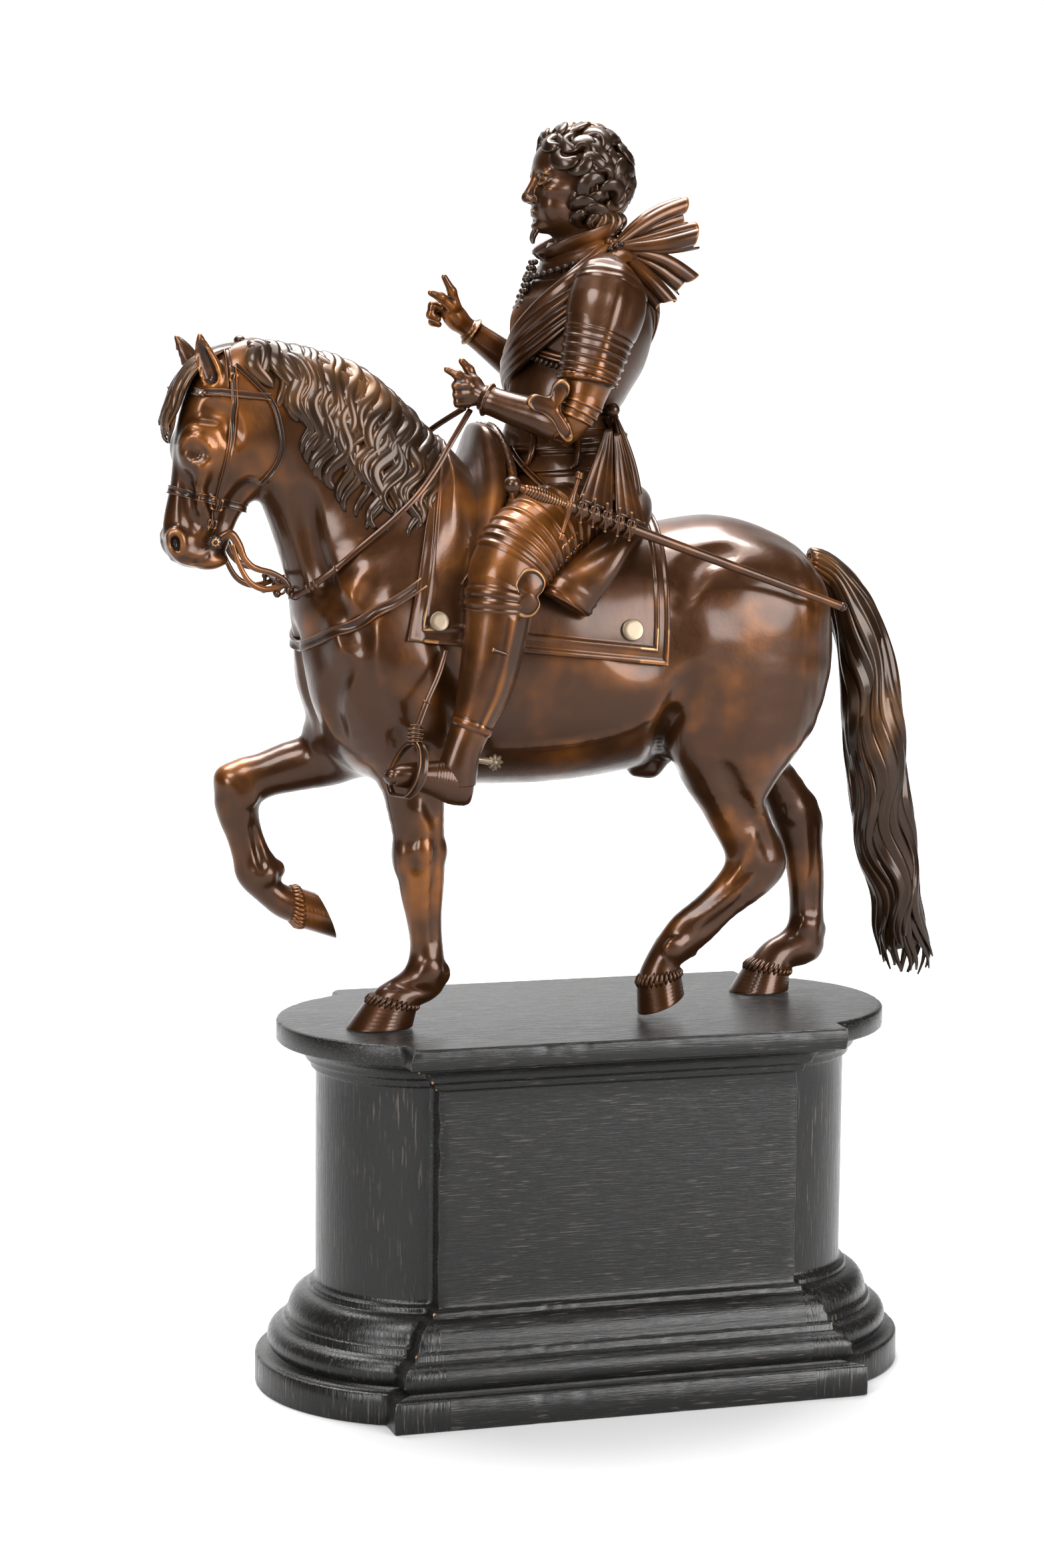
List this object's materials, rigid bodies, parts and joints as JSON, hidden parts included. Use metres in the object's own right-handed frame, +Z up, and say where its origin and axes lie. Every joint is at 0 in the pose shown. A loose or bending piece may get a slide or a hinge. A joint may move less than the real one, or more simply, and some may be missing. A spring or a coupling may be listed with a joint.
{
  "type": "equestrian statuette",
  "caption": "Bronze statuette of an armoured rider on a walking horse, with saddlecloth, sword, reins and flying sash bow, on a tall moulded plinth of dark wood with rounded ends.",
  "frame": {"origin": "centre of the plinth's underside", "axes": "+Z up; the horse faces -X, so +X is towards its tail; its left side, with the sword, faces -Y"},
  "size_m": [0.1936, 0.0868, 0.2971],
  "materials": {
    "bronze": "dark brown bronze under a reddish lacquer, worn to gold on the ridges",
    "worn_bronze": "thin bronze strip, greyer and more worn",
    "ebonised_wood": "black stained wood, satin, rubbed to brown on the edges"
  },
  "bodies": {
    "root": {"plinth": "ebonised_wood", "horse": "bronze", "tail": "bronze", "rider": "bronze", "sword": "bronze", "curb_bit": "bronze", "rein_left": "worn_bronze", "rein_right": "worn_bronze", "stirrup_left": "worn_bronze", "stirrup_right": "worn_bronze"}
  },
  "joints": []
}
